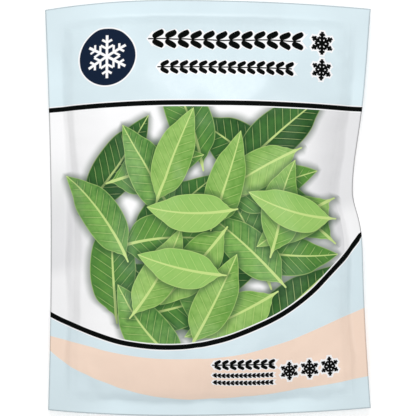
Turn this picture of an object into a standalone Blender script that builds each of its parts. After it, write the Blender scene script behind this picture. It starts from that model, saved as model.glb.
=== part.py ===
"""Sealed plastic bag of frozen okra pods, lying on its back, print side up.

+X runs across the bag, +Y towards its top edge, +Z out of the printed face.
The origin is on the surface that the bag lies on, under the middle of the bag.
Two webs of film are heat-sealed together along all four edges, and whole pods lie loose between them.
"""

import math
import random

import bmesh
import bpy
from mathutils import Matrix, Vector

# Half the width and height of the filled bag where it reaches furthest, in metres.
HALF_WIDTH = 0.105
HALF_HEIGHT = 0.1335

# Widths of its four seals. The left one is narrower towards the top of the bag and wider towards the bottom.
SEAL_LEFT, SEAL_LEFT_TAPER = 0.0112, 0.0012
SEAL_RIGHT = 0.0098
SEAL_TOP, SEAL_BOTTOM = 0.0103, 0.0096

# The film is drawn thicker than the real 0.1 mm, so that it is a usable solid.
FILM = 0.0005
WELD_GAP = 0.0003
FACET_SAG = 0.0007

# How the filled bag stands: height of the seal along the sides and at the corners, and the two domes.
SEAL_HEIGHT = 0.0145
CORNER_DROP = 0.0075
FRONT_RISE = 0.0300
BACK_DEPTH = 0.0235
DOME_POWER_ACROSS = 3.2
DOME_POWER_ALONG = 4.2
DOME_FULLNESS = 0.85
REST_EASE = 0.003

# The outline of the filled bag: its sides draw in at the waist, its ends bow out between the corners.
LEFT_WAIST, LEFT_LEAN, LEFT_FLARE = 0.1010, 0.0010, 0.0031
RIGHT_WAIST, RIGHT_FLARE = 0.0991, 0.0059
NOTCH_DEPTH, NOTCH_PLACE = 0.0062, 0.09
NOTCH_ABOVE, NOTCH_BELOW = 0.34, 0.14
END_PEAK = -0.25
TOP_DROP_LEFT, TOP_DROP_RIGHT = 0.0057, 0.0051
BOTTOM_DROP_LEFT, BOTTOM_DROP_RIGHT = 0.0031, 0.0045

# Faces across and along each web. The outermost row and column are narrower than the seals, which stay flat.
CELLS_ACROSS, CELLS_ALONG = 22, 28

# Pods lie lengthways in lanes, two rows end to end, in two layers.
POD_GIRTH = 0.0200
POD_LENGTH = 0.094
LENGTH_SHARES = (0.94, 1.03)
GIRTH_SHARES = (0.94, 1.0)
POD_SLACK = 0.00045
POD_YAW = math.radians(1.0)
POD_BEND = 0.0012
LANE_PITCH = 0.0188
LOWER_LANES, UPPER_LANES = 9, 7
ROW_GAP = 0.003
LANE_SHIFT = 0.004
SMALLEST_SHARE = 0.5
GIRTH_STEP = 0.98
POD_STATIONS = 16
ROUND_SAMPLES = (-0.9, -0.6, -0.3, 0.0, 0.3, 0.6, 0.9)
POD_SEED = 7

# Pod outline: share of the length from the cut stem, and share of the greatest radius there.
POD_RINGS = (
    (0.0, 0.34),
    (0.055, 0.32),
    (0.095, 0.46),
    (0.115, 0.90),
    (0.155, 0.97),
    (0.26, 1.0),
    (0.43, 0.96),
    (0.58, 0.85),
    (0.72, 0.66),
    (0.85, 0.41),
    (0.94, 0.23),
    (1.0, 0.11),
)
POD_RIDGES = 5
VALLEY_SHARE = 0.89
BELLY_RING = 3

COLOURS = {
    "film": ((0.84, 0.92, 0.95, 1.0), 0.32),
    "okra": ((0.20, 0.42, 0.07, 1.0), 0.55),
}


def clear_scene():
    for obj in list(bpy.data.objects):
        bpy.data.objects.remove(obj, do_unlink=True)


def new_collection(name):
    collection = bpy.data.collections.new(name)
    bpy.context.scene.collection.children.link(collection)
    return collection


def new_material(name):
    colour, roughness = COLOURS[name]
    material = bpy.data.materials.new(name)
    material.use_nodes = True
    shader = material.node_tree.nodes["Principled BSDF"]
    shader.inputs["Base Color"].default_value = colour
    shader.inputs["Roughness"].default_value = roughness
    shader.inputs["Metallic"].default_value = 0.0
    return material


def share_from_peak(across):
    """0 where an end of the bag reaches furthest out, 1 at its corners."""
    if across < END_PEAK:
        return (END_PEAK - across) / (1 + END_PEAK)
    return (across - END_PEAK) / (1 - END_PEAK)


def end_reach(across, drop_left, drop_right):
    drop = drop_left if across < END_PEAK else drop_right
    return HALF_HEIGHT - drop * share_from_peak(across) ** 2


def side_notch(along):
    """The dent in the right side, sharper below than above."""
    spread = NOTCH_ABOVE if along > NOTCH_PLACE else NOTCH_BELOW
    return NOTCH_DEPTH * math.exp(-(((along - NOTCH_PLACE) / spread) ** 2))


def left_reach(along):
    return LEFT_WAIST + LEFT_LEAN * along + LEFT_FLARE * along**2


def right_reach(along):
    return RIGHT_WAIST + RIGHT_FLARE * along**2 - side_notch(along)


def plan(across, along):
    """Where a point of the flat web lies in plan once the bag is filled. Both arguments run from -1 to 1."""
    left, right = left_reach(along), right_reach(along)
    top = end_reach(across, TOP_DROP_LEFT, TOP_DROP_RIGHT)
    bottom = end_reach(across, BOTTOM_DROP_LEFT, BOTTOM_DROP_RIGHT)
    x = -left + (left + right) * (across + 1) / 2
    y = -bottom + (bottom + top) * (along + 1) / 2
    return x, y


def fullness(across, along):
    """0 at the seal's inner edge and outside it, 1 in the middle of the bag."""
    side = SEAL_RIGHT if across > 0 else SEAL_LEFT - SEAL_LEFT_TAPER * along
    end = SEAL_TOP if along > 0 else SEAL_BOTTOM
    a = min(1.0, abs(across) / (1 - side / HALF_WIDTH))
    b = min(1.0, abs(along) / (1 - end / HALF_HEIGHT))
    return ((1 - a**DOME_POWER_ACROSS) * (1 - b**DOME_POWER_ALONG)) ** DOME_FULLNESS


def seal_height(across, along):
    return SEAL_HEIGHT - CORNER_DROP * abs(across * along) ** 3


def front_height(across, along):
    """Outer face of the front web."""
    lift = WELD_GAP / 2 + FILM
    return seal_height(across, along) + lift + FRONT_RISE * fullness(across, along)


def back_height(across, along):
    """Outer face of the back web, which eases into the flat patch that the bag rests on."""
    lift = WELD_GAP / 2 + FILM
    free = seal_height(across, along) - lift - BACK_DEPTH * fullness(across, along)
    if free > REST_EASE / 2:
        return free
    return max(0.0, free + REST_EASE / 2) ** 2 / (2 * REST_EASE)


def web(name, height, inward, material, collection):
    """One web of film: a grid laid over the filled bag, given its thickness towards the inside."""
    mesh = bpy.data.meshes.new(name)
    bm = bmesh.new()
    bmesh.ops.create_grid(bm, x_segments=CELLS_ACROSS, y_segments=CELLS_ALONG, size=1.0)
    for vertex in bm.verts:
        across, along = vertex.co.x, vertex.co.y
        x, y = plan(across, along)
        vertex.co = Vector((x, y, height(across, along)))
    if inward > 0:
        bmesh.ops.reverse_faces(bm, faces=bm.faces)
    bm.to_mesh(mesh)
    bm.free()
    mesh.shade_smooth()
    mesh.materials.append(material)
    obj = bpy.data.objects.new(name, mesh)
    collection.objects.link(obj)
    solidify = obj.modifiers.new("film", "SOLIDIFY")
    solidify.thickness = FILM
    solidify.offset = -1.0
    solidify.use_even_offset = True
    return obj


def sheet_place(x, y):
    """The point of the flat web that lies at x, y: the inverse of plan, found in a few steps."""
    across, along = x / HALF_WIDTH, y / HALF_HEIGHT
    for _ in range(6):
        px, py = plan(across, along)
        across += (x - px) / HALF_WIDTH
        along += (y - py) / HALF_HEIGHT
    return across, along


def pod_radius(share, girth):
    """Greatest radius of a pod at a share of its length from the cut stem."""
    for (s0, r0), (s1, r1) in zip(POD_RINGS, POD_RINGS[1:]):
        if share <= s1:
            return girth / 2 * (r0 + (r1 - r0) * (share - s0) / (s1 - s0))
    return girth / 2 * POD_RINGS[-1][1]


def back_bed(x):
    """Least height of a pod's axis over the back web in the lane at x, for a place y and a radius there."""

    def height(y, radius):
        return max(
            back_height(*sheet_place(x + t * radius, y)) + radius * math.sqrt(1 - t * t)
            for t in ROUND_SAMPLES
        ) + FILM + FACET_SAG + POD_SLACK

    return height


def pod_bed(line, ends, girth):
    """The same for a pod that lies on another one, which has this line, ends and girth."""

    def height(y, radius):
        s = min(1.0, max(0.0, (y - ends[0]) / (ends[1] - ends[0])))
        return line[0] + (line[1] - line[0]) * s + pod_radius(s, girth) + POD_SLACK + radius

    return height


def resting_line(bed, ends, girth):
    """Heights of a pod's axis at its two ends, once it lies straight on a bed."""
    stations = [k / POD_STATIONS for k in range(POD_STATIONS + 1)]
    low = [bed(ends[0] + (ends[1] - ends[0]) * s, pod_radius(s, girth)) for s in stations]
    start, end = low[0], low[-1]
    lift = max(z - (start + (end - start) * s) for z, s in zip(low, stations))
    return start + lift, end + lift


def room_above(x, ends, line, girth):
    """Least gap between a pod lying along line and the front web over it."""
    gaps = []
    for k in range(POD_STATIONS + 1):
        s = k / POD_STATIONS
        y, radius = ends[0] + (ends[1] - ends[0]) * s, pod_radius(s, girth)
        top = line[0] + (line[1] - line[0]) * s
        gaps += [
            front_height(*sheet_place(x + t * radius, y)) - radius * math.sqrt(1 - t * t) - top
            for t in ROUND_SAMPLES
        ]
    return min(gaps) - FILM - FACET_SAG - POD_SLACK


def lane_ends(row, outward, length, shift):
    """y of the cut stem and of the tip, for a pod whose stem points outward or inward."""
    inner, outer = row * (ROW_GAP / 2 + shift), row * (ROW_GAP / 2 + shift + length)
    return (outer, inner) if outward else (inner, outer)


def stack_in_lane(x, row, flip, both, length, shift, girth):
    """One pod, or one on another, as thick as fits between the webs in this lane, up to the given girth."""
    while girth > POD_GIRTH * SMALLEST_SHARE:
        lower_ends = lane_ends(row, flip, length, shift)
        lower = resting_line(back_bed(x), lower_ends, girth)
        stack = [(lower_ends, lower)]
        if both:
            upper_ends = lane_ends(row, not flip, length, shift)
            upper = resting_line(pod_bed(lower, lower_ends, girth), upper_ends, girth)
            stack.append((upper_ends, upper))
        if room_above(x, *stack[-1], girth) >= 0:
            return girth, stack
        girth *= GIRTH_STEP
    return girth, []


def pod_mesh(name, length, girth, bend, roll):
    """A ridged, tapering pod along +X from its cut stem, with a short stem and a shouldered cap."""
    bm = bmesh.new()
    bmesh.ops.create_cone(
        bm, cap_ends=True, segments=2 * POD_RIDGES, radius1=1.0, radius2=1.0, depth=1.0
    )
    sides = [e for e in bm.edges if abs(e.verts[0].co.z - e.verts[1].co.z) > 0.5]
    bmesh.ops.subdivide_edges(bm, edges=sides, cuts=len(POD_RINGS) - 2, use_grid_fill=False)
    for vertex in bm.verts:
        ring = round((vertex.co.z + 0.5) * (len(POD_RINGS) - 1))
        share, radius = POD_RINGS[ring]
        turn = math.atan2(vertex.co.y, vertex.co.x)
        corner = round(turn * POD_RIDGES / math.pi)
        reach = girth / 2 * radius
        if corner % 2 and ring >= BELLY_RING:
            reach *= VALLEY_SHARE
        curve = bend * (share**2 - share)
        vertex.co = Vector(
            (share * length, reach * math.cos(turn + roll) + curve, reach * math.sin(turn + roll))
        )
    mesh = bpy.data.meshes.new(name)
    bm.to_mesh(mesh)
    bm.free()
    mesh.shade_smooth()
    return mesh


def place_pod(name, x, ends, line, girth, draw, material, collection):
    """One loose pod, its stem at the first end of its lane and its tip at the second, turned a little in plan."""
    sway = math.sin(draw.uniform(-POD_YAW, POD_YAW)) * abs(ends[1] - ends[0]) / 2
    stem, tip = Vector((x - sway, ends[0], line[0])), Vector((x + sway, ends[1], line[1]))
    along = (tip - stem).normalized()
    side = along.cross(Vector((0, 0, 1))).normalized()
    turned = Matrix((along, side, along.cross(side))).transposed().to_4x4()
    bend = draw.uniform(-POD_BEND, POD_BEND)
    roll = draw.uniform(0, 2 * math.pi / POD_RIDGES)
    mesh = pod_mesh(name, (tip - stem).length, girth, bend, roll)
    mesh.materials.append(material)
    pod = bpy.data.objects.new(name, mesh)
    pod.matrix_world = Matrix.Translation(stem) @ turned
    collection.objects.link(pod)
    return pod


def fill_with_pods(material, collection):
    """Pods in lanes, their stems outward and inward by turns, so that thick ends lie against thin ones."""
    draw = random.Random(POD_SEED)
    count = 0
    for row in (-1, 1):
        for lane in range(LOWER_LANES):
            place = lane - (LOWER_LANES - 1) / 2
            x = place * LANE_PITCH
            both = abs(place) <= (UPPER_LANES - 1) / 2
            length = POD_LENGTH * draw.uniform(*LENGTH_SHARES)
            shift = draw.uniform(0, LANE_SHIFT)
            widest = POD_GIRTH * draw.uniform(*GIRTH_SHARES)
            girth, stack = stack_in_lane(x, row, lane % 2 == 0, both, length, shift, widest)
            for ends, line in stack:
                count += 1
                place_pod(f"pod_{count:02d}", x, ends, line, girth, draw, material, collection)


def main():
    clear_scene()
    bag = new_collection("frozen_okra_bag")
    film = new_material("film")
    okra = new_material("okra")
    web("front_film", front_height, -1, film, bag)
    web("back_film", back_height, 1, film, bag)
    fill_with_pods(okra, bag)


main()
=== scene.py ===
"""Looks of a sealed plastic bag of frozen okra: printed film, welded seals and the pods inside.

The bag lies on its back, print side up: +X across it, +Y towards its top edge, +Z out of the print.
Lengths are in metres. The print is laid out in millimetres on the flat web, from the web's middle.
"""

import math
import bmesh
import bpy
import numpy as np
from mathutils import Matrix, Vector, noise


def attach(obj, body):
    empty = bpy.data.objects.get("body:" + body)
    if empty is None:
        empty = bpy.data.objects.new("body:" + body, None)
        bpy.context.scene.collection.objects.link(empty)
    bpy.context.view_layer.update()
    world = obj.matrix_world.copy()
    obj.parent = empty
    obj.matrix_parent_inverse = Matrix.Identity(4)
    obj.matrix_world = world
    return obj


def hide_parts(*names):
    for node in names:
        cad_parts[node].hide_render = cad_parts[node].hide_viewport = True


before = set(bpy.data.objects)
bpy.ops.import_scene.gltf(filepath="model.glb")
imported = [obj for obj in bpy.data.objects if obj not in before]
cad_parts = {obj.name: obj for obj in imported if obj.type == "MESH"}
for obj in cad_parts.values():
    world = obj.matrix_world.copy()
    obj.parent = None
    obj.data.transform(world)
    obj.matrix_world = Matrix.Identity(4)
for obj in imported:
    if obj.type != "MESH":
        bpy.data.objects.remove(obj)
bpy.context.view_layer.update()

# The filled bag's outline and domes, as in the construction.
HALF_WIDTH = 0.105
HALF_HEIGHT = 0.1335
SEAL_LEFT, SEAL_LEFT_TAPER = 0.0112, 0.0012
SEAL_RIGHT = 0.0098
SEAL_TOP, SEAL_BOTTOM = 0.0103, 0.0096
SEAL_HEIGHT = 0.0145
CORNER_DROP = 0.0075
FRONT_RISE = 0.0300
BACK_DEPTH = 0.0235
DOME_POWER_ACROSS = 3.2
DOME_POWER_ALONG = 4.2
DOME_FULLNESS = 0.85
REST_EASE = 0.003
LEFT_WAIST, LEFT_LEAN, LEFT_FLARE = 0.1010, 0.0010, 0.0031
RIGHT_WAIST, RIGHT_FLARE = 0.0991, 0.0059
NOTCH_DEPTH, NOTCH_PLACE = 0.0062, 0.09
NOTCH_ABOVE, NOTCH_BELOW = 0.34, 0.14
END_PEAK = -0.25
TOP_DROP_LEFT, TOP_DROP_RIGHT = 0.0057, 0.0051
BOTTOM_DROP_LEFT, BOTTOM_DROP_RIGHT = 0.0031, 0.0045

# The film of each web, and how it is divided before it is smoothed once.
FILM = 0.00012
WEB_LIFT = 0.00015
DOME_LIFT = 0.0005
CELLS_ACROSS, CELLS_ALONG = 84, 107

# Gentle waves of the welded seals.
WAVE_HEIGHT = 0.0011
WAVE_LENGTH = 0.042
WAVE_SEED = 3.7

# How the film swells and creases against its welds, and how much of that is kept.
BILLOW_FRAMES = 18
BILLOW_START = 0.84
BILLOW_PRESSURE = 3.0
FILM_SPARE = -0.012
CREASE_SHARE = 0.65
BROAD_CAP = 0.0010
INWARD_CAP = 0.0011
BLUR_ROUNDS = 60
CREASE_NOISE = 0.00025
CREASE_LENGTH = 0.009

# Relief of both webs, in millimetres: the groove inside the weld, puckers square to it, lumps of the pods.
# Along the sides it starts a little inside the weld.
GROOVE_DEPTH, GROOVE_PLACE, GROOVE_WIDTH = 0.9, 2.6, 2.4
SIDE_EASE = 1.6
# The left weld's inner edge strays inward: by how much at most, where, and over what length.
STRAY, STRAY_PLACE, STRAY_LENGTH = 3.6, -20.0, 50.0
PUCKER_HEIGHT = {"side": 0.85, "end": 1.35}
PUCKER_LENGTH, PUCKER_START, PUCKER_REACH = 11.0, 3.5, 18.0
PUCKER_SHARPNESS, PUCKER_DRIFT = 3.2, 60.0
LUMP_HEIGHT, LUMP_LENGTH, LUMP_BIAS = 2.5, 27.0, 0.35

# Film moves in from the plain dome by no more than this share of the back's depth, so the webs never meet.
INWARD_SHARE = 0.4

# Folds of the front web, in millimetres: their two ends on the flat web, half widths to the left and right,
# and height. The back web goes along with them at the welds and is free of them at this fullness.
CARRIED_FULLNESS = 0.25
FOLDS = (
    ((91.6, 4.5), (92.6, -33.0), 4.0, 5.5, -2.6),
    ((80.6, -13.0), (91.6, -31.0), 3.4, 3.4, -2.0),
    ((86.0, 52.0), (82.0, -8.0), 6.0, 3.0, 0.8),
    ((-87.8, 60.0), (-88.9, -12.0), 4.0, 2.2, -1.0),
    ((-82.0, -6.0), (-80.0, -70.0), 5.0, 2.0, -1.4),
    ((-92.0, 114.0), (-70.0, 117.0), 2.0, 3.0, 0.8),
    ((70.0, 118.0), (88.0, 100.0), 2.4, 4.0, 0.9),
    ((-70.0, -118.0), (-84.0, -98.0), 2.4, 4.0, 0.9),
)

# Pods: levels of smoothing on the construction's coarse ones. Points nearer than this are one.
POD_SMOOTHING = 2
MERGE = 0.00001

# The photograph's frame, in pixels, and its scale where the seals lie.
PHOTO_PIXELS = 416
METRES_A_PIXEL = 0.000642
CAMERA_DISTANCE = 1.5
SENSOR = 36.0

# Soft lights: their turn round the camera's axis in degrees and power, lean, distance and size.
SOFT_LIGHTS = (
    ("soft_top", 0.0, 5.8),
    ("soft_left", 90.0, 3.0),
    ("soft_bottom", 180.0, 2.1),
    ("soft_right", 270.0, 2.5),
)
LIGHT_LEAN = math.radians(-36.0)
LIGHT_DISTANCE = 1.4
LIGHT_SIZE = 0.55
SURROUND = 0.48
FLOOR_GAP = 0.0003
FLOOR_GLOW = 0.19

# The print, in millimetres on the flat web: its bands, its black lines and how soft their edges are.
WEB_MM = (210.0, 267.0)
TOP_LINE_PLACE = 66.0
TOP_LINE_WIDTH = 3.1
SWOOSH_WIDTH = 3.2
WHITE_EDGE, WHITE_SOFTNESS = 0.7, 0.1
INK_SOFTNESS = 0.12
SWOOSH = (
    (-105, -69.2), (-94, -74.3), (-75, -80.7), (-51, -85.7), (-20, -87.4),
    (2, -84.7), (30, -75.7), (62, -59.4), (85, -39.2), (105, -16.8),
)
PEACH_TOP = (
    (-105, -83.6), (-87, -87.4), (-58, -92.3), (-26, -95.2),
    (16, -93.4), (44, -87.0), (73, -78.2), (105, -66.1),
)
PEACH_BOTTOM = (
    (-105, -93.2), (-96, -100.0), (-84, -106.3), (-68, -112.4), (-44, -118.5),
    (-12, -122.4), (16, -121.5), (50, -118.4), (105, -111.9),
)

# The curved edges are drawn between these heights, and their slope is taken over this step.
EDGE_RANGE = (-130.0, 0.0)
EDGE_STEP = 2.0

# Painted shade greying the window's sides, in millimetres: the slope and heights over which it grows, and
# its two shares.
# Then where it comes in at the left and at the right, and where it fades out up the left side.
# Below the dent in the right side the painted shade stops at a crease, so the film past it stays bright.
GREY_SLOPE, GREY_LEVEL = 0.21, (-27.0, -13.0)
GREY_SHARE = (0.2, 0.9)
GREY_LEFT, GREY_RIGHT = (-70.0, -97.0), (62.0, 88.0)
GREY_UP = (52.0, -8.0)
DENT_CREASE, CREASE_SOFTNESS = 92.3, 0.4

# Share of black in the film's colour: painted shade, high and low in the side welds, then outside and
# inside the window in a painted shaded band just inside the welds, and along the cut edge, darkened there
# by unprinted film and by painted shade.
# The shaded band's outer and inner limits run from the weld's inner edge, and the trim's from the cut edge.
LOW_WELD_SHADE = (0.02, 0.07)
SEAL_BAND_SHADE = (0.035, 0.13)
TRIM_SHADE = (0.24, 0.46)
SEAL_BAND_OUTER, SEAL_BAND_INNER = (-6.4, -3.4), (0.8, -1.2)
TRIM_WIDTH = (1.0, 0.5)

# Gloss of black ink and of pale film, which is reached at this lightness, and the film's faint crinkles.
FILM_SPECULAR = (0.0, 0.30)
FILM_COAT, COAT_ROUGHNESS = (0.0, 0.08), 0.15
PALE_LIGHTNESS = 0.15
FILM_ROUGHNESS = (0.30, 0.40)
WELD_ROUGHNESS = 0.05
BROAD_SCALE, FINE_SCALE, FINE_SHARE = 0.045, 0.35, 0.10

SHADING = {}


def srgb(red, green, blue):
    """A printed colour, given in 0 to 255 as on a screen, as the shader's linear colour."""
    channels = [c / 255 for c in (red, green, blue)]
    linear = [c / 12.92 if c <= 0.04045 else ((c + 0.055) / 1.055) ** 2.4 for c in channels]
    return (*linear, 1.0)


PALE_BLUE = srgb(222, 239, 245)
GREY_BLUE = srgb(213, 229, 235)
PANEL_WHITE = srgb(249, 249, 250)
INK_BLACK = srgb(10, 13, 12)
PEACH = srgb(247, 221, 202)
NAVY = srgb(20, 34, 56)
LEAF_MINT = srgb(162, 202, 108)
LEAF_FRESH = srgb(138, 190, 92)
LEAF_MID = srgb(100, 154, 58)
LEAF_DEEP = srgb(62, 118, 44)
LEAF_DARK = srgb(34, 74, 34)
LEAF_VEIN = srgb(206, 228, 140)
# Grey of the painted shade on the window's sides.
SIDE_SHADE_GREY = srgb(226, 226, 228)
OKRA_GREEN = srgb(94, 138, 52)
OKRA_DEEP = srgb(62, 104, 38)
OKRA_STEM = srgb(160, 178, 96)


# The printed design: a heap of strewn broad leaves. A leaf's cell is this much wider and longer than it.
# Each leaf leans, bends and varies in width by chance, and has veins, a midrib and a soft shadow.
HEAP_MIDDLE, HEAP_REACH, HEAP_SQUARENESS = (-2.0, -14.0), (72.0, 74.0), 3.0
LEAF_CELL = (1.42, 1.10)
LEAF_PROFILE = (
    (0.0, 0.04), (0.05, 0.06), (0.13, 0.36), (0.36, 0.97), (0.56, 0.97), (0.82, 0.50), (1.0, 0.0),
)
LEAF_LEAN, LEAF_BEND = 0.24, 16.0
LEAF_HALF_WIDTH = (0.43, 0.5)
LEAF_SLIP = 7.3
VEIN_PITCH, VEIN_SLANT, VEIN_STAGGER = 6.2, 0.85, 2.6
RIB_HALF_WIDTH = (0.95, 0.20)
LEAF_SHADOW, LEAF_SHADOW_REACH = 0.62, 6.0
LEAF_SOFTNESS = 0.14
LEAF_LAYERS = (
    # turn in degrees, seed, share kept, length, width, pale and deep colour
    (64.0, 1.0, 1.0, 78.0, 36.0, LEAF_DEEP, LEAF_DARK),
    (-38.0, 2.0, 1.0, 76.0, 34.0, LEAF_DEEP, LEAF_DARK),
    (12.0, 3.0, 1.0, 74.0, 33.0, LEAF_MID, LEAF_DEEP),
    (-82.0, 4.0, 1.0, 70.0, 31.0, LEAF_MID, LEAF_DEEP),
    (38.0, 5.0, 0.8, 70.0, 30.0, LEAF_FRESH, LEAF_DEEP),
    (128.0, 6.0, 0.6, 66.0, 28.0, LEAF_MINT, LEAF_MID),
    (-24.0, 7.0, 0.5, 66.0, 28.0, LEAF_MINT, LEAF_MID),
    (76.0, 8.0, 0.4, 60.0, 25.0, LEAF_MINT, LEAF_FRESH),
)

# Marks in the header and foot: a badge, rows of paired leaves, and snowflakes.
BADGE = (-64.7, 97.2)
BADGE_RADIUS, BADGE_OUTLINE = 18.6, 0.9
BADGE_FLAKE, BADGE_STROKE = 14.0, 1.7
# A row's middle, pairs, half height and pitch, and a snowflake's middle and radius.
HEADER_ROWS = ((11.0, 108.0, 12, 6.4, 8.2), (11.5, 89.0, 14, 4.7, 6.2))
HEADER_FLAKES = ((74.5, 107.5, 7.8), (74.8, 89.8, 7.0))
FOOT_ROWS = ((22.4, -99.4, 8, 3.5, 5.0), (22.0, -106.6, 14, 1.7, 2.8), (22.0, -111.6, 14, 1.7, 2.8))
FOOT_FLAKES = ((52.6, -104.8, 6.3), (66.0, -104.0, 6.3), (79.4, -103.2, 6.3))
# A snowflake's stroke, and each barb's root and length, as shares of its radius.
FLAKE_STROKE = 0.24
FLAKE_BARBS = ((0.36, 0.34), (0.66, 0.26))
BARB_TURN, BARB_STROKE = math.pi / 3, 0.85
ROW_SLANT, ROW_BELLY, ROW_STEM = 0.75, 1.62, 0.45


def share_from_peak(across):
    """0 where an end of the bag reaches furthest out, 1 at its corners."""
    if across < END_PEAK:
        return (END_PEAK - across) / (1 + END_PEAK)
    return (across - END_PEAK) / (1 - END_PEAK)


def end_reach(across, drop_left, drop_right):
    """How far an end of the bag reaches out at this place across it."""
    drop = drop_left if across < END_PEAK else drop_right
    return HALF_HEIGHT - drop * share_from_peak(across) ** 2


def side_notch(along):
    """The dent in the right side, sharper below than above."""
    spread = NOTCH_ABOVE if along > NOTCH_PLACE else NOTCH_BELOW
    return NOTCH_DEPTH * math.exp(-(((along - NOTCH_PLACE) / spread) ** 2))


def plan(across, along):
    """Where a point of the flat web lies in plan once the bag is filled. Both run from -1 to 1."""
    left = LEFT_WAIST + LEFT_LEAN * along + LEFT_FLARE * along**2
    right = RIGHT_WAIST + RIGHT_FLARE * along**2 - side_notch(along)
    top = end_reach(across, TOP_DROP_LEFT, TOP_DROP_RIGHT)
    bottom = end_reach(across, BOTTOM_DROP_LEFT, BOTTOM_DROP_RIGHT)
    return -left + (left + right) * (across + 1) / 2, -bottom + (bottom + top) * (along + 1) / 2


def fullness(across, along):
    """0 at the seal's inner edge and outside it, 1 in the middle of the bag."""
    side = SEAL_RIGHT if across > 0 else SEAL_LEFT - SEAL_LEFT_TAPER * along
    end = SEAL_TOP if along > 0 else SEAL_BOTTOM
    a = min(1.0, abs(across) / (1 - side / HALF_WIDTH))
    b = min(1.0, abs(along) / (1 - end / HALF_HEIGHT))
    return ((1 - a**DOME_POWER_ACROSS) * (1 - b**DOME_POWER_ALONG)) ** DOME_FULLNESS


def seal_height(across, along):
    """Height of the weld's middle, with the waves that a welded edge keeps."""
    place = Vector((across * HALF_WIDTH, along * HALF_HEIGHT, 0)) / WAVE_LENGTH
    place.z = WAVE_SEED
    wave = WAVE_HEIGHT * noise.noise(place) * (1 - fullness(across, along))
    return SEAL_HEIGHT - CORNER_DROP * abs(across * along) ** 3 + wave


def front_height(across, along, share=1.0):
    """Outer face of the front web, with a share of its dome."""
    rise = (FRONT_RISE + DOME_LIFT) * fullness(across, along)
    return seal_height(across, along) + WEB_LIFT + rise * share


def back_height(across, along, share=1.0):
    """Outer face of the back web, which eases into the flat patch that the bag rests on."""
    depth = (BACK_DEPTH + DOME_LIFT) * fullness(across, along)
    free = seal_height(across, along) - WEB_LIFT - depth * share
    if free > REST_EASE / 2:
        return free
    return max(0.0, free + REST_EASE / 2) ** 2 / (2 * REST_EASE)


def crease_seed(x, y):
    """A little unevenness, without which the film would swell with no creases."""
    return CREASE_NOISE * noise.noise(Vector((x / CREASE_LENGTH, y / CREASE_LENGTH, WAVE_SEED)))


def new_piece(name, bm):
    """An object at the origin from a bmesh, shaded smooth."""
    mesh = bpy.data.meshes.new(name)
    bm.to_mesh(mesh)
    bm.free()
    mesh.shade_smooth()
    piece = bpy.data.objects.new(name, mesh)
    bpy.context.scene.collection.objects.link(piece)
    return piece


def web_grid(name, height, share, printed_up):
    """One web laid over the filled bag, with its place on the flat web as its UV map."""
    bm = bmesh.new()
    bmesh.ops.create_grid(bm, x_segments=CELLS_ACROSS, y_segments=CELLS_ALONG, size=1.0)
    flat = bm.loops.layers.uv.new("flat_web")
    for face in bm.faces:
        for loop in face.loops:
            across, along = loop.vert.co.xy
            loop[flat].uv = ((across + 1) / 2, (along + 1) / 2)
    for vertex in bm.verts:
        across, along = vertex.co.xy
        x, y = plan(across, along)
        uneven = crease_seed(x, y) * fullness(across, along)
        vertex.co = (x, y, height(across, along, share) + uneven)
    if not printed_up:
        bmesh.ops.reverse_faces(bm, faces=bm.faces)
    return new_piece(name, bm)


def web_places():
    """across and along of every point of a web, in the order of its grid."""
    bm = bmesh.new()
    bmesh.ops.create_grid(bm, x_segments=CELLS_ACROSS, y_segments=CELLS_ALONG, size=1.0)
    places = [tuple(v.co.xy) for v in bm.verts]
    bm.free()
    return places


def billow(web, held):
    """The places of the film's points once it has swollen between its welds and creased there, as cloth."""
    pins = web.vertex_groups.new(name="welded")
    pins.add(held, 1.0, "REPLACE")
    cloth = web.modifiers.new("swelling", "CLOTH")
    film = cloth.settings
    film.vertex_group_mass = pins.name
    film.quality = 7
    film.mass = 0.12
    film.tension_stiffness = 40
    film.compression_stiffness = 40
    film.shear_stiffness = 20
    film.bending_stiffness = 0.5
    film.shrink_min = FILM_SPARE
    film.use_pressure = True
    film.uniform_pressure_force = BILLOW_PRESSURE
    film.effector_weights.gravity = 0.0
    cloth.collision_settings.use_collision = False
    cloth.collision_settings.use_self_collision = False
    cloth.point_cache.frame_end = BILLOW_FRAMES
    for step in range(1, BILLOW_FRAMES + 1):
        bpy.context.scene.frame_set(step)
    swollen = web.evaluated_get(bpy.context.evaluated_depsgraph_get())
    places = [tuple(v.co) for v in swollen.data.vertices]
    web.modifiers.remove(cloth)
    web.vertex_groups.remove(pins)
    bpy.context.scene.frame_set(1)
    return places


def evened(field, held):
    """A field over the web's grid with its creases evened out. It stays at 0 where the web is held."""
    for _ in range(BLUR_ROUNDS):
        wide = np.pad(field, ((1, 1), (1, 1), (0, 0)), mode="edge")
        beside = wide[:-2, 1:-1] + wide[2:, 1:-1] + wide[1:-1, :-2] + wide[1:-1, 2:]
        field = (field + beside) / 5
        field[held] = 0.0
    return field


def creased(full, swollen, held, outward):
    """The full dome with the swollen film's creases, hardly anywhere further in than the dome."""
    rows = (CELLS_ALONG + 1, CELLS_ACROSS + 1)
    off = (np.array(swollen) - full).reshape(*rows, 3)
    broad = evened(off.copy(), held.reshape(rows))
    kept = (off - broad) * CREASE_SHARE + BROAD_CAP * np.tanh(broad / BROAD_CAP)
    kept[..., 2] = outward * np.maximum(outward * kept[..., 2], -INWARD_CAP)
    return full + kept.reshape(-1, 3)


def pucker(place, seed):
    """A row of small ridges, from 0 to 1, along one weld."""
    wave = noise.noise(Vector((place / PUCKER_LENGTH, seed, WAVE_SEED)))
    return max(0.0, 1 - PUCKER_SHARPNESS * abs(wave))


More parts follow.
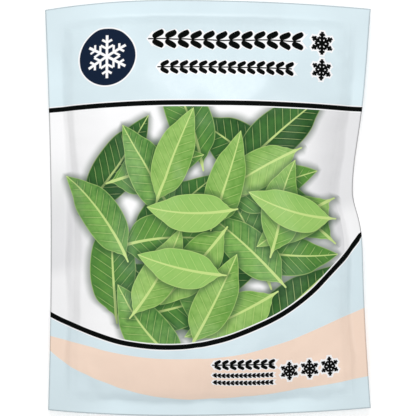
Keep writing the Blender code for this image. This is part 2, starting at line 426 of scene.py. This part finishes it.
def inside_welds(x, y):
    """Millimetres from a point of the flat web out to where relief starts at its side and at its end."""
    half_x, half_y = WEB_MM[0] / 2, WEB_MM[1] / 2
    side, stray = SEAL_RIGHT, 0.0
    if x <= 0:
        side = SEAL_LEFT - SEAL_LEFT_TAPER * y / half_y
    if x < 0:
        stray = STRAY * math.exp(-(((y - STRAY_PLACE) / STRAY_LENGTH) ** 2))
    end = SEAL_TOP if y > 0 else SEAL_BOTTOM
    return half_x - abs(x) - side * 1000 - SIDE_EASE - stray, half_y - abs(y) - end * 1000


def relief(across, along, outward):
    """How far film stands out of the plain dome, in millimetres: groove, puckers and lumps."""
    x, y = across * WEB_MM[0] / 2, along * WEB_MM[1] / 2
    from_side, from_end = inside_welds(x, y)
    inside = min(from_side, from_end)
    if inside <= 0:
        return 0.0
    rim = min(1.0, inside / PUCKER_START)
    height = -GROOVE_DEPTH * rim * math.exp(-(((inside - GROOVE_PLACE) / GROOVE_WIDTH) ** 2))
    side_seed = math.copysign(11.0, x) + 5.0 * outward + from_side / PUCKER_DRIFT
    end_seed = math.copysign(23.0, y) + 5.0 * outward + from_end / PUCKER_DRIFT
    height += rim * PUCKER_HEIGHT["side"] * pucker(y, side_seed) * math.exp(-from_side / PUCKER_REACH)
    height += rim * PUCKER_HEIGHT["end"] * pucker(x, end_seed) * math.exp(-from_end / PUCKER_REACH)
    lump = noise.noise(Vector((x / LUMP_LENGTH, y / LUMP_LENGTH, 3.0 * outward))) + LUMP_BIAS
    return height + LUMP_HEIGHT * max(0.0, lump) * fullness(across, along) ** 2


def fold_height(across, along):
    """Height of the front web's folds, in millimetres, steeper on one side than on the other."""
    place = Vector((across * WEB_MM[0] / 2, along * WEB_MM[1] / 2))
    height = 0.0
    for start, end, left_width, right_width, rise in FOLDS:
        start, run = Vector(start), Vector(end) - Vector(start)
        share = min(1.0, max(0.0, (place - start).dot(run) / run.length_squared))
        off = place - start - run * share
        half_width = left_width if off.x < 0 else right_width
        height += rise * math.sin(math.pi * share) ** 0.8 * math.exp(-((off.length / half_width) ** 2))
    return height


def shape_web(name, height, outward):
    """One web of film, swollen and creased, and given its thickness."""
    web = web_grid(name, height, BILLOW_START, outward > 0)
    places = web_places()
    full = np.array([(*plan(*p), height(*p)) for p in places])
    held = np.array([fullness(*p) == 0 for p in places]) | ((outward < 0) & (full[:, 2] < MERGE))
    swollen = billow(web, [int(i) for i in np.flatnonzero(held)])
    full = creased(full, swollen, held, outward)
    for vertex, place, point in zip(web.data.vertices, full, places):
        full_here, dome = fullness(*point), height(*point)
        stand = outward * (place[2] - dome) + relief(*point, outward) / 1000
        stand = max(stand, -INWARD_SHARE * BACK_DEPTH * full_here)
        carried = 1.0 if outward > 0 else max(0.0, 1 - full_here / CARRIED_FULLNESS)
        fold = carried * fold_height(*point) / 1000
        vertex.co = (place[0], place[1], max(dome + outward * stand + fold, 0.0))
    smooth = web.modifiers.new("smooth", "SUBSURF")
    smooth.levels = smooth.render_levels = 1
    smooth.boundary_smooth = "PRESERVE_CORNERS"
    wall = web.modifiers.new("film", "SOLIDIFY")
    wall.thickness = FILM
    wall.offset = -1.0
    return web


class Nodes:
    """Short calls that add nodes to one tree and give back their output."""

    def __init__(self, tree):
        self.tree = tree

    def add(self, kind, inputs=None, **settings):
        node = self.tree.nodes.new(kind)
        for name, value in settings.items():
            setattr(node, name, value)
        for key, value in (inputs or {}).items():
            self.put(value, node.inputs[key])
        return node

    def put(self, value, socket):
        if isinstance(value, bpy.types.NodeSocket):
            self.tree.links.new(value, socket)
        else:
            socket.default_value = value

    def math(self, operation, *values):
        return self.add("ShaderNodeMath", dict(enumerate(values)), operation=operation).outputs[0]

    def plus(self, a, b):
        return self.math("ADD", a, b)

    def minus(self, a, b):
        return self.math("SUBTRACT", a, b)

    def times(self, a, b):
        return self.math("MULTIPLY", a, b)

    def over(self, a, b):
        return self.math("DIVIDE", a, b)

    def size(self, a):
        return self.math("ABSOLUTE", a)

    def least(self, a, b):
        return self.math("MINIMUM", a, b)

    def most(self, a, b):
        return self.math("MAXIMUM", a, b)

    def ramp(self, value, low, high, first=0.0, last=1.0):
        """A smooth step from first to last as value goes from low to high."""
        inputs = {"Value": value, "From Min": low, "From Max": high, "To Min": first, "To Max": last}
        return self.add("ShaderNodeMapRange", inputs, interpolation_type="SMOOTHSTEP").outputs[0]

    def linear(self, value, low, high, first=0.0, last=1.0):
        """A straight step from first to last as value goes from low to high."""
        inputs = {"Value": value, "From Min": low, "From Max": high, "To Min": first, "To Max": last}
        return self.add("ShaderNodeMapRange", inputs).outputs[0]

    def mix(self, share, first, second):
        node = self.add("ShaderNodeMix", data_type="RGBA")
        self.put(share, node.inputs["Factor"])
        self.put(first, node.inputs[6])
        self.put(second, node.inputs[7])
        return node.outputs[2]

    def curve(self, value, points):
        """A smooth curve through points whose places and heights run from 0 to 1."""
        node = self.add("ShaderNodeFloatCurve", {"Value": value})
        line = node.mapping.curves[0]
        line.points[0].location, line.points[-1].location = points[0], points[-1]
        for place in points[1:-1]:
            line.points.new(*place)
        for point in line.points:
            point.handle_type = "AUTO"
        node.mapping.update()
        return node.outputs[0]

    def inked(self, depth):
        """1 inside a printed shape and 0 outside it, with a softly inked edge."""
        return self.ramp(depth, -INK_SOFTNESS, INK_SOFTNESS)

    def length(self, x, y):
        return self.math("SQRT", self.plus(self.times(x, x), self.times(y, y)))

    def noise(self, vector, scale, detail=2.0, roughness=0.5):
        inputs = {"Vector": vector, "Scale": scale, "Detail": detail, "Roughness": roughness}
        return self.add("ShaderNodeTexNoise", inputs).outputs["Fac"]

    def vector(self, x, y, z=0.0):
        return self.add("ShaderNodeCombineXYZ", {0: x, 1: y, 2: z}).outputs[0]

    def use(self, group, **inputs):
        """Places a node group. Underscores in the names stand for spaces."""
        node = self.add("ShaderNodeGroup", node_tree=group)
        for name, value in inputs.items():
            self.put(value, node.inputs[name.replace("_", " ")])
        return node.outputs


FLOAT, COLOUR, VECTOR = "NodeSocketFloat", "NodeSocketColor", "NodeSocketVector"


def new_group(name, inputs, outputs):
    """A shader node group with named inputs and outputs, each (name, kind)."""
    group = bpy.data.node_groups.new(name, "ShaderNodeTree")
    for label, kind in inputs:
        group.interface.new_socket(label, in_out="INPUT", socket_type=kind)
    for label, kind in outputs:
        group.interface.new_socket(label, in_out="OUTPUT", socket_type=kind)
    nodes = Nodes(group)
    given = nodes.add("NodeGroupInput").outputs
    result = nodes.add("NodeGroupOutput").inputs
    return group, nodes, given, result


def flat_web_group():
    """Turns the web's UV map into millimetres from its middle."""
    group, n, given, result = new_group("flat_web_mm", [("UV", VECTOR)], [("X", FLOAT), ("Y", FLOAT)])
    split = n.add("ShaderNodeSeparateXYZ", {0: given["UV"]}).outputs
    for axis, length in zip("XY", WEB_MM):
        n.put(n.times(n.minus(split[axis], 0.5), length), result[axis])
    return group


def edge_group(name, points):
    """Distance above a curved printed edge, in millimetres, measured square to the edge."""
    group, n, given, result = new_group(name, [("X", FLOAT), ("Y", FLOAT)], [("Above", FLOAT)])
    low, high = EDGE_RANGE
    half = WEB_MM[0] / 2
    shares = [((x + half) / WEB_MM[0], (y - low) / (high - low)) for x, y in points]

    def height(x):
        share = n.linear(x, -half, half)
        return n.linear(n.curve(share, shares), 0.0, 1.0, low, high)

    here, beside = height(given["X"]), height(n.plus(given["X"], EDGE_STEP))
    slope = n.over(n.minus(beside, here), EDGE_STEP)
    steepness = n.math("SQRT", n.plus(n.times(slope, slope), 1.0))
    n.put(n.over(n.minus(given["Y"], here), steepness), result["Above"])
    return group


PLACE = [("X", FLOAT), ("Y", FLOAT), ("Centre X", FLOAT), ("Centre Y", FLOAT)]


def snowflake_group():
    """How deep a point is in a six-armed snowflake, in millimetres."""
    inputs = PLACE + [("Radius", FLOAT), ("Stroke", FLOAT)]
    group, n, given, result = new_group("snowflake_mark", inputs, [("Depth", FLOAT)])
    dx = n.minus(given["X"], given["Centre X"])
    dy = n.minus(given["Y"], given["Centre Y"])
    reach = n.length(dx, dy)
    folded = n.math("PINGPONG", n.math("ARCTAN2", dx, dy), math.pi / 6)
    out = n.times(reach, n.math("COSINE", folded))
    side = n.times(reach, n.math("SINE", folded))
    half = n.over(given["Stroke"], 2.0)
    depth = n.least(n.minus(half, side), n.minus(given["Radius"], out))
    sine, cosine = math.sin(BARB_TURN), math.cos(BARB_TURN)
    for root, length in FLAKE_BARBS:
        off = n.minus(out, n.times(given["Radius"], root))
        across = n.minus(n.times(off, sine), n.times(side, cosine))
        along = n.plus(n.times(off, cosine), n.times(side, sine))
        inside = n.minus(n.times(half, BARB_STROKE), n.size(across))
        before_tip = n.minus(n.times(given["Radius"], length), along)
        depth = n.most(depth, n.least(n.least(inside, before_tip), n.plus(along, half)))
    n.put(depth, result["Depth"])
    return group


def leaf_row_group():
    """How deep a point is in a row of small paired leaves on a stem, in millimetres."""
    inputs = PLACE + [("Half Length", FLOAT), ("Half Height", FLOAT), ("Pitch", FLOAT)]
    group, n, given, result = new_group("leaf_row", inputs, [("Depth", FLOAT)])
    dx = n.minus(given["X"], given["Centre X"])
    off = n.size(n.minus(given["Y"], given["Centre Y"]))
    slanted = n.minus(dx, n.times(off, ROW_SLANT))
    local = n.minus(n.math("FLOORED_MODULO", slanted, given["Pitch"]), n.over(given["Pitch"], 2.0))
    share = n.over(off, given["Half Height"])
    belly = n.times(n.times(share, n.minus(1.0, share)), n.times(given["Pitch"], ROW_BELLY))
    leaf = n.times(n.minus(belly, n.size(local)), math.cos(math.atan(ROW_SLANT)))
    stem = n.minus(ROW_STEM, off)
    end = n.minus(given["Half Length"], n.size(slanted))
    n.put(n.least(n.most(leaf, stem), end), result["Depth"])
    return group


def strewn_leaves_group():
    """One layer of broad leaves strewn one way, laid over the colour under it with a soft shadow."""
    inputs = [
        ("X", FLOAT), ("Y", FLOAT), ("Turn", FLOAT), ("Seed", FLOAT), ("Share", FLOAT),
        ("Length", FLOAT), ("Width", FLOAT),
        ("Pale Colour", COLOUR), ("Deep Colour", COLOUR), ("Under Colour", COLOUR),
    ]
    group, n, given, result = new_group("strewn_leaves", inputs, [("Colour", COLOUR)])
    cosine, sine = n.math("COSINE", given["Turn"]), n.math("SINE", given["Turn"])
    u = n.plus(n.times(given["X"], cosine), n.times(given["Y"], sine))
    v = n.minus(n.times(given["Y"], cosine), n.times(given["X"], sine))

    # Staggered cells, each with one leaf, and that leaf's chances.
    cell_u = n.times(given["Width"], LEAF_CELL[0])
    cell_v = n.times(given["Length"], LEAF_CELL[1])
    slip = n.times(given["Seed"], LEAF_SLIP)
    row = n.math("ROUND", n.over(n.plus(v, slip), cell_v))
    stagger = n.plus(n.times(n.math("FLOORED_MODULO", row, 2.0), n.over(cell_u, 2.0)), slip)
    column = n.math("ROUND", n.over(n.plus(u, stagger), cell_u))
    middle_u = n.minus(n.times(column, cell_u), stagger)
    middle_v = n.minus(n.times(row, cell_v), slip)
    seed = n.vector(column, row, given["Seed"])
    chance = n.add("ShaderNodeTexWhiteNoise", {"Vector": seed}, noise_dimensions="3D").outputs["Color"]
    luck = n.add("ShaderNodeSeparateColor", {0: chance}).outputs

    # A leaf is there or left out whole, by where its middle lies in the window.
    middle_x = n.minus(n.times(middle_u, cosine), n.times(middle_v, sine))
    middle_y = n.plus(n.times(middle_u, sine), n.times(middle_v, cosine))
    offs = []
    for place, middle, half in zip((middle_x, middle_y), HEAP_MIDDLE, HEAP_REACH):
        offs.append(n.math("POWER", n.size(n.over(n.minus(place, middle), half)), HEAP_SQUARENESS))
    in_heap = n.math("LESS_THAN", n.plus(*offs), 1.0)
    present = n.times(in_heap, n.math("LESS_THAN", luck[2], given["Share"]))

    # Place on the leaf, which leans and bends a little.
    dv = n.minus(v, middle_v)
    along = n.plus(n.over(dv, given["Length"]), 0.5)
    lean = n.times(dv, n.linear(luck[0], 0.0, 1.0, -LEAF_LEAN, LEAF_LEAN))
    halfway = n.minus(along, 0.5)
    bend = n.times(n.times(halfway, halfway), n.linear(luck[1], 0.0, 1.0, -LEAF_BEND, LEAF_BEND))
    aside = n.minus(n.minus(n.minus(u, middle_u), lean), bend)
    half_width = n.times(given["Width"], n.linear(luck[1], 0.0, 1.0, *LEAF_HALF_WIDTH))
    profile = n.curve(along, LEAF_PROFILE)
    outside = n.most(n.size(halfway), 0.5)
    beyond = n.times(n.minus(outside, 0.5), given["Length"])
    inward = n.minus(n.minus(n.times(profile, half_width), n.size(aside)), beyond)

    # Blade: one half paler, puffed between its veins, with a pale midrib and a thin lit rim.
    across = n.over(aside, half_width)
    slant = n.minus(dv, n.times(n.size(aside), VEIN_SLANT))
    slant = n.plus(slant, n.times(n.ramp(across, -0.02, 0.02), VEIN_STAGGER))
    gap = n.size(n.minus(n.math("FRACT", n.over(slant, VEIN_PITCH)), 0.5))
    puffed = n.ramp(gap, 0.0, 0.40)
    mottle = n.noise(n.vector(aside, dv, n.times(luck[0], 90.0)), 0.16, 4.0, 0.6)
    tone = n.plus(n.times(n.ramp(across, 0.10, -0.10), 0.30), n.times(puffed, 0.22))
    tone = n.plus(tone, n.linear(mottle, 0.30, 0.70, -0.12, 0.30))
    tone = n.plus(tone, n.linear(n.over(luck[2], given["Share"]), 0.0, 1.0, -0.16, 0.20))
    tone = n.plus(tone, n.ramp(n.size(across), 0.9, 0.2, -0.12, 0.06))
    tone = n.least(n.most(tone, 0.0), 1.0)
    blade = n.mix(tone, given["Deep Colour"], given["Pale Colour"])
    rib = n.ramp(n.minus(n.size(aside), n.linear(along, 0.0, 1.0, *RIB_HALF_WIDTH)), 0.22, -0.08)
    vein = n.times(n.ramp(gap, 0.055, 0.0), n.ramp(inward, 0.3, 3.5, 0.0, 0.60))
    blade = n.mix(n.most(n.times(rib, 0.85), vein), blade, LEAF_VEIN)
    blade = n.mix(n.ramp(inward, 0.75, 0.05, 0.0, 0.45), blade, LEAF_VEIN)

    shadow = n.times(n.times(n.ramp(inward, -LEAF_SHADOW_REACH, 0.5), present), LEAF_SHADOW)
    under = n.mix(shadow, given["Under Colour"], LEAF_DARK)
    on_leaf = n.times(n.ramp(inward, -LEAF_SOFTNESS, LEAF_SOFTNESS), present)
    n.put(n.mix(on_leaf, under, blade), result["Colour"])
    return group


def ink_group():
    """Black ink with a white outline round it, laid over the colour under it."""
    inputs = [("Depth", FLOAT), ("Outline", FLOAT), ("Ink", COLOUR), ("Under Colour", COLOUR)]
    group, n, given, result = new_group("outlined_ink", inputs, [("Colour", COLOUR)])
    reach = n.times(given["Outline"], -1.0)
    halo = n.ramp(given["Depth"], n.minus(reach, 0.2), n.plus(reach, 0.1))
    colour = n.mix(halo, given["Under Colour"], PANEL_WHITE)
    n.put(n.mix(n.inked(given["Depth"]), colour, given["Ink"]), result["Colour"])
    return group


def film_finish_group():
    """Faint crinkles of the film, the flattened weld round its edge, and where shade is painted inside the
    welds and along the cut edge, from its place on the flat web.
    """
    inputs = [("X", FLOAT), ("Y", FLOAT)]
    outputs = [("Weld", FLOAT), ("Seal Band Shade", FLOAT), ("Trim", FLOAT), ("Height", FLOAT), ("Roughness", FLOAT)]
    group, n, given, result = new_group("film_finish", inputs, outputs)
    x, y = given["X"], given["Y"]
    half_x, half_y = WEB_MM[0] / 2, WEB_MM[1] / 2
    taper = n.times(y, SEAL_LEFT_TAPER * 1000 / half_y)
    off_stray = n.over(n.minus(y, STRAY_PLACE), STRAY_LENGTH)
    stray = n.times(n.math("EXPONENT", n.times(n.times(off_stray, off_stray), -1.0)), STRAY)
    past_left = n.minus(n.plus(stray, SEAL_LEFT * 1000 + SIDE_EASE - half_x), n.plus(x, taper))
    past_right = n.minus(x, half_x - SEAL_RIGHT * 1000 - SIDE_EASE)
    past_top = n.minus(y, half_y - SEAL_TOP * 1000)
    past_bottom = n.minus(SEAL_BOTTOM * 1000 - half_y, y)
    past = n.most(n.most(past_left, past_right), n.most(past_top, past_bottom))
    weld = n.ramp(past, -0.5, 0.5)
    from_cut = n.least(n.minus(half_x, n.size(x)), n.minus(half_y, n.size(y)))
    place = n.vector(x, y)
    broad = n.noise(place, BROAD_SCALE, 3.0, 0.45)
    fine = n.noise(place, FINE_SCALE, 3.0, 0.5)
    line = n.ramp(n.size(past), 0.9, 0.0)
    height = n.minus(n.plus(broad, n.times(fine, FINE_SHARE)), n.times(line, 0.10))
    roughness = n.plus(n.linear(fine, 0.3, 0.7, *FILM_ROUGHNESS), n.times(weld, WELD_ROUGHNESS))
    n.put(weld, result["Weld"])
    n.put(n.times(n.ramp(past, *SEAL_BAND_OUTER), n.ramp(past, *SEAL_BAND_INNER)), result["Seal Band Shade"])
    n.put(n.ramp(from_cut, *TRIM_WIDTH), result["Trim"])
    n.put(height, result["Height"])
    n.put(roughness, result["Roughness"])
    return group


def okra_skin_group():
    """Downy green skin with frost, from the place along the pod."""
    inputs = [("Along", VECTOR), ("Place", VECTOR)]
    outputs = [("Colour", COLOUR), ("Height", FLOAT), ("Roughness", FLOAT)]
    group, n, given, result = new_group("okra_skin", inputs, outputs)
    split = n.add("ShaderNodeSeparateXYZ", {0: given["Along"]}).outputs
    blotch = n.noise(given["Place"], 90.0, 4.0)
    down = n.noise(given["Place"], 2600.0, 2.0)
    frost = n.ramp(n.noise(given["Place"], 420.0, 4.0, 0.6), 0.56, 0.70)
    skin = n.mix(n.linear(blotch, 0.35, 0.65), OKRA_DEEP, OKRA_GREEN)
    skin = n.mix(n.ramp(split["X"], 0.13, 0.03), skin, OKRA_STEM)
    ridge = n.ramp(n.math("PINGPONG", split["Y"], 0.1), 0.03, 0.0)
    skin = n.mix(n.times(ridge, 0.35), skin, OKRA_STEM)
    n.put(n.mix(n.times(frost, 0.55), skin, srgb(226, 238, 232)), result["Colour"])
    n.put(n.plus(n.times(down, 0.5), frost), result["Height"])
    n.put(n.linear(frost, 0.0, 1.0, 0.55, 0.38), result["Roughness"])
    return group


def build_groups():
    """Makes every shader node group once."""
    SHADING.update(
        flat_web=flat_web_group(),
        swoosh=edge_group("swoosh_edge", SWOOSH),
        peach_top=edge_group("peach_top_edge", PEACH_TOP),
        peach_bottom=edge_group("peach_bottom_edge", PEACH_BOTTOM),
        snowflake=snowflake_group(),
        leaf_row=leaf_row_group(),
        leaves=strewn_leaves_group(),
        ink=ink_group(),
        finish=film_finish_group(),
        okra=okra_skin_group(),
    )


def new_material(name):
    """A material, short calls for its nodes, and the inputs of its Principled shader."""
    material = bpy.data.materials.new(name)
    material.use_nodes = True
    shader = material.node_tree.nodes["Principled BSDF"]
    return material, Nodes(material.node_tree), shader.inputs


def bands(n, x, y, window):
    """The bag's bands of colour, and where the window is: header, window, swoosh, peach band and foot."""
    grain = n.noise(n.vector(x, y), 0.02, 2.0)
    blue = n.mix(n.linear(grain, 0.3, 0.7), GREY_BLUE, PALE_BLUE)
    above_top = n.minus(y, TOP_LINE_PLACE)
    swoosh = n.use(SHADING["swoosh"], X=x, Y=y)["Above"]
    peach_top = n.use(SHADING["peach_top"], X=x, Y=y)["Above"]
    peach_bottom = n.use(SHADING["peach_bottom"], X=x, Y=y)["Above"]
    colour = n.mix(n.inked(above_top), window, blue)
    foot = n.mix(n.inked(n.least(peach_bottom, n.times(peach_top, -1.0))), blue, PEACH)
    colour = n.mix(n.ramp(swoosh, INK_SOFTNESS, -INK_SOFTNESS), colour, foot)
    for width, off in ((TOP_LINE_WIDTH, above_top), (SWOOSH_WIDTH, swoosh)):
        line = n.minus(width / 2, n.size(off))
        white = n.ramp(line, -WHITE_EDGE - WHITE_SOFTNESS, -WHITE_EDGE + WHITE_SOFTNESS)
        colour = n.mix(white, colour, PANEL_WHITE)
        colour = n.mix(n.inked(line), colour, INK_BLACK)
    return colour, n.inked(n.least(n.times(above_top, -1.0), swoosh))


def window_picture(n, x, y):
    """Strewn leaves on white, greyed towards the sides by painted shade, which stops at the dent's crease.
    """
    # Painted shade: the white greys towards the sides, and on the right it stops past the dent's crease,
    # leaving a bright facet.
    tone = n.ramp(n.minus(y, n.times(x, GREY_SLOPE)), *GREY_LEVEL, *GREY_SHARE)
    left = n.times(n.times(n.ramp(x, *GREY_LEFT), n.ramp(y, *GREY_UP)), tone)
    crease_start, crease_end = DENT_CREASE + CREASE_SOFTNESS, DENT_CREASE - CREASE_SOFTNESS
    before_crease = n.ramp(x, crease_start, crease_end, 0.0, GREY_SHARE[1])
    right = n.times(n.ramp(x, *GREY_RIGHT), n.most(tone, before_crease))
    colour = n.mix(n.most(left, right), PANEL_WHITE, SIDE_SHADE_GREY)
    for turn, seed, share, length, width, pale, deep in LEAF_LAYERS:
        colour = n.use(
            SHADING["leaves"], X=x, Y=y, Turn=math.radians(turn), Seed=seed, Share=share,
            Length=length, Width=width, Pale_Colour=pale, Deep_Colour=deep, Under_Colour=colour,
        )["Colour"]
    return colour


def outlined(n, depth, under, outline=1.0, ink=INK_BLACK):
    """A printed shape with its outline, over the colour under it."""
    return n.use(SHADING["ink"], Depth=depth, Outline=outline, Ink=ink, Under_Colour=under)["Colour"]


def marks(n, x, y, colour):
    """Plain ornaments: a badge with a snowflake, rows of leaves, and snowflakes."""
    dx, dy = n.minus(x, BADGE[0]), n.minus(y, BADGE[1])
    disc = n.minus(BADGE_RADIUS, n.length(dx, dy))
    colour = outlined(n, disc, colour, BADGE_OUTLINE, NAVY)
    flake = n.use(
        SHADING["snowflake"], X=x, Y=y, Centre_X=BADGE[0], Centre_Y=BADGE[1],
        Radius=BADGE_FLAKE, Stroke=BADGE_STROKE,
    )
    colour = n.mix(n.inked(flake["Depth"]), colour, PANEL_WHITE)
    for cx, cy, pairs, tall, pitch in (*HEADER_ROWS, *FOOT_ROWS):
        row = n.use(
            SHADING["leaf_row"], X=x, Y=y, Centre_X=cx, Centre_Y=cy,
            Half_Length=pairs * pitch / 2, Half_Height=tall, Pitch=pitch,
        )
        colour = outlined(n, row["Depth"], colour)
    for cx, cy, radius in (*HEADER_FLAKES, *FOOT_FLAKES):
        flake = n.use(
            SHADING["snowflake"], X=x, Y=y, Centre_X=cx, Centre_Y=cy,
            Radius=radius, Stroke=radius * FLAKE_STROKE,
        )
        colour = outlined(n, flake["Depth"], colour)
    return colour


def film_material(name, printed):
    """Satin printed film: its print, its weld, its faint crinkles and its painted shade."""
    material, n, shader = new_material(name)
    uv = n.add("ShaderNodeUVMap", uv_map="flat_web").outputs[0]
    place = n.use(SHADING["flat_web"], UV=uv)
    x, y = place["X"], place["Y"]
    finish = n.use(SHADING["finish"], X=x, Y=y)
    window = window_picture(n, x, y) if printed else PANEL_WHITE
    colour, in_window = bands(n, x, y, window)
    if printed:
        colour = marks(n, x, y, colour)
    # Painted shade, mixed towards black: darker in the low side welds, in a band just inside the welds, and
    # along the cut edge.
    low_weld_shade = n.times(n.ramp(y, 20.0, -60.0, *LOW_WELD_SHADE), n.ramp(n.size(x), 55.0, 90.0, 0.1, 1.0))
    left_window = n.times(in_window, n.ramp(x, 60.0, -60.0))
    seal_band_shade = n.times(finish["Seal Band Shade"], n.linear(left_window, 0.0, 1.0, *SEAL_BAND_SHADE))
    # The dark line along the cut edge is partly unprinted film and partly painted shade, stronger in the
    # window.
    trim = n.times(finish["Trim"], n.linear(in_window, 0.0, 1.0, *TRIM_SHADE))
    shade = n.most(n.plus(n.times(finish["Weld"], low_weld_shade), seal_band_shade), trim)
    n.put(n.mix(shade, colour, INK_BLACK), shader["Base Color"])
    lightness = n.add("ShaderNodeRGBToBW", {0: colour}).outputs[0]
    n.put(n.linear(lightness, 0.0, PALE_LIGHTNESS, *FILM_SPECULAR), shader["Specular IOR Level"])
    n.put(finish["Roughness"], shader["Roughness"])
    bump = n.add("ShaderNodeBump", {"Strength": 0.35, "Distance": 0.0012, "Height": finish["Height"]})
    n.put(bump.outputs[0], shader["Normal"])
    n.put(n.linear(lightness, 0.0, PALE_LIGHTNESS, *FILM_COAT), shader["Coat Weight"])
    shader["Coat Roughness"].default_value = COAT_ROUGHNESS
    return material


def okra_material():
    """The pods' skin, on their own map along each pod."""
    material, n, shader = new_material("frosted_okra")
    along = n.add("ShaderNodeUVMap", uv_map="along_pod").outputs[0]
    place = n.add("ShaderNodeTexCoord").outputs["Object"]
    skin = n.use(SHADING["okra"], Along=along, Place=place)
    n.put(skin["Colour"], shader["Base Color"])
    n.put(skin["Roughness"], shader["Roughness"])
    bump = n.add("ShaderNodeBump", {"Strength": 0.5, "Distance": 0.0002, "Height": skin["Height"]})
    n.put(bump.outputs[0], shader["Normal"])
    shader["Sheen Weight"].default_value = 0.3
    return material


def pod_ends(places):
    """The middles of a pod's stem end, which has the wider shoulder near it, and of its tip."""
    low, high = min(v.y for v in places), max(v.y for v in places)
    span = high - low

    def near(start, share):
        chosen = [v for v in places if abs((v.y - start) / span) <= share]
        return chosen, sum(chosen, Vector()) / len(chosen)

    sides = []
    for start in (low, high):
        chosen, middle = near(start, 0.18)
        sides.append((max((v - middle).xz.length for v in chosen), near(start, 0.02)[1]))
    sides.sort(key=lambda side: side[0], reverse=True)
    return sides[0][1], sides[1][1]


def refine_pod(name, skin):
    """A smoother pod in the place of the construction's coarse one, with its own map along the pod."""
    bm = bmesh.new()
    bm.from_mesh(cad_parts[name].data)
    bmesh.ops.remove_doubles(bm, verts=bm.verts, dist=MERGE)
    bmesh.ops.join_triangles(
        bm, faces=bm.faces, angle_face_threshold=math.radians(40), angle_shape_threshold=math.radians(60)
    )
    stem, tip = pod_ends([v.co for v in bm.verts])
    axis = (tip - stem).normalized()
    side = axis.cross(Vector((0, 0, 1))).normalized()
    up = side.cross(axis)
    along_pod = bm.loops.layers.uv.new("along_pod")
    for face in bm.faces:
        for loop in face.loops:
            off = loop.vert.co - stem
            share = off.dot(axis) / (tip - stem).length
            turn = math.atan2(off.dot(up), off.dot(side)) / (2 * math.pi) + 0.5
            loop[along_pod].uv = (share, turn)
    pod = new_piece(f"okra_{name}", bm)
    pod.data.materials.append(skin)
    smooth = pod.modifiers.new("smooth", "SUBSURF")
    smooth.levels = smooth.render_levels = POD_SMOOTHING
    return pod


def settle(piece, slot, *nodes):
    """A piece rides on the bag's one body and stands for the construction's nodes."""
    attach(piece, "root")
    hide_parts(*nodes)


def make_bag():
    """Both webs of film and the pods between them."""
    front = shape_web("printed_front_film", front_height, 1)
    back = shape_web("plain_back_film", back_height, -1)
    front.data.materials.append(film_material("printed_front", True))
    back.data.materials.append(film_material("banded_back", False))
    settle(front, "front_film", "front_film")
    settle(back, "back_film", "back_film")
    skin = okra_material()
    pods = [name for name in sorted(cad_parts) if name.startswith("pod_")]
    for name in pods:
        settle(refine_pod(name, skin), "okra", name)


def make_floor():
    """A white floor just under the bag, bright enough to show white all round it."""
    bm = bmesh.new()
    bmesh.ops.create_grid(bm, x_segments=1, y_segments=1, size=3.0)
    floor = new_piece("floor", bm)
    floor.data.transform(Matrix.Translation((0, 0, -FLOOR_GAP)))
    material, n, shader = new_material("white_floor")
    shader["Base Color"].default_value = (0.95, 0.95, 0.95, 1.0)
    shader["Roughness"].default_value = 0.9
    shader["Specular IOR Level"].default_value = 0.0
    shader["Emission Color"].default_value = (1.0, 1.0, 1.0, 1.0)
    shader["Emission Strength"].default_value = FLOOR_GLOW
    floor.data.materials.append(material)


def area_light(name, place, size, power):
    light = bpy.data.lights.new(name, "AREA")
    light.shape = "DISK"
    light.size = size
    light.energy = power
    lamp = bpy.data.objects.new(name, light)
    lamp.location = place
    lamp.rotation_mode = "QUATERNION"
    lamp.rotation_quaternion = place.to_track_quat("Z", "Y")
    bpy.context.scene.collection.objects.link(lamp)


def make_studio():
    """Four soft lights round the camera's axis and a dim white surround, so only slopes shade or shine."""
    scene = bpy.context.scene
    scene.view_settings.view_transform = "Standard"
    world = bpy.data.worlds.new("studio")
    world.use_nodes = True
    world.node_tree.nodes["Background"].inputs["Color"].default_value = (1, 1, 1, 1)
    world.node_tree.nodes["Background"].inputs["Strength"].default_value = SURROUND
    scene.world = world
    for name, turn, power in SOFT_LIGHTS:
        lean = Matrix.Rotation(math.radians(turn), 3, "Z") @ Matrix.Rotation(LIGHT_LEAN, 3, "X")
        area_light(name, lean @ Vector((0, 0, LIGHT_DISTANCE)), LIGHT_SIZE, power)


def make_camera():
    """Looks straight down on the bag, with the photograph's frame and scale at the height of the seals."""
    view = bpy.data.cameras.new("photograph")
    view.sensor_width = SENSOR
    view.lens = SENSOR * CAMERA_DISTANCE / (PHOTO_PIXELS * METRES_A_PIXEL)
    view.clip_end = 10.0
    camera = bpy.data.objects.new("photograph", view)
    camera.location = (0.0, 0.0, SEAL_HEIGHT + CAMERA_DISTANCE)
    bpy.context.scene.collection.objects.link(camera)
    bpy.context.scene.camera = camera


make_camera()
build_groups()
make_bag()
make_floor()
make_studio()
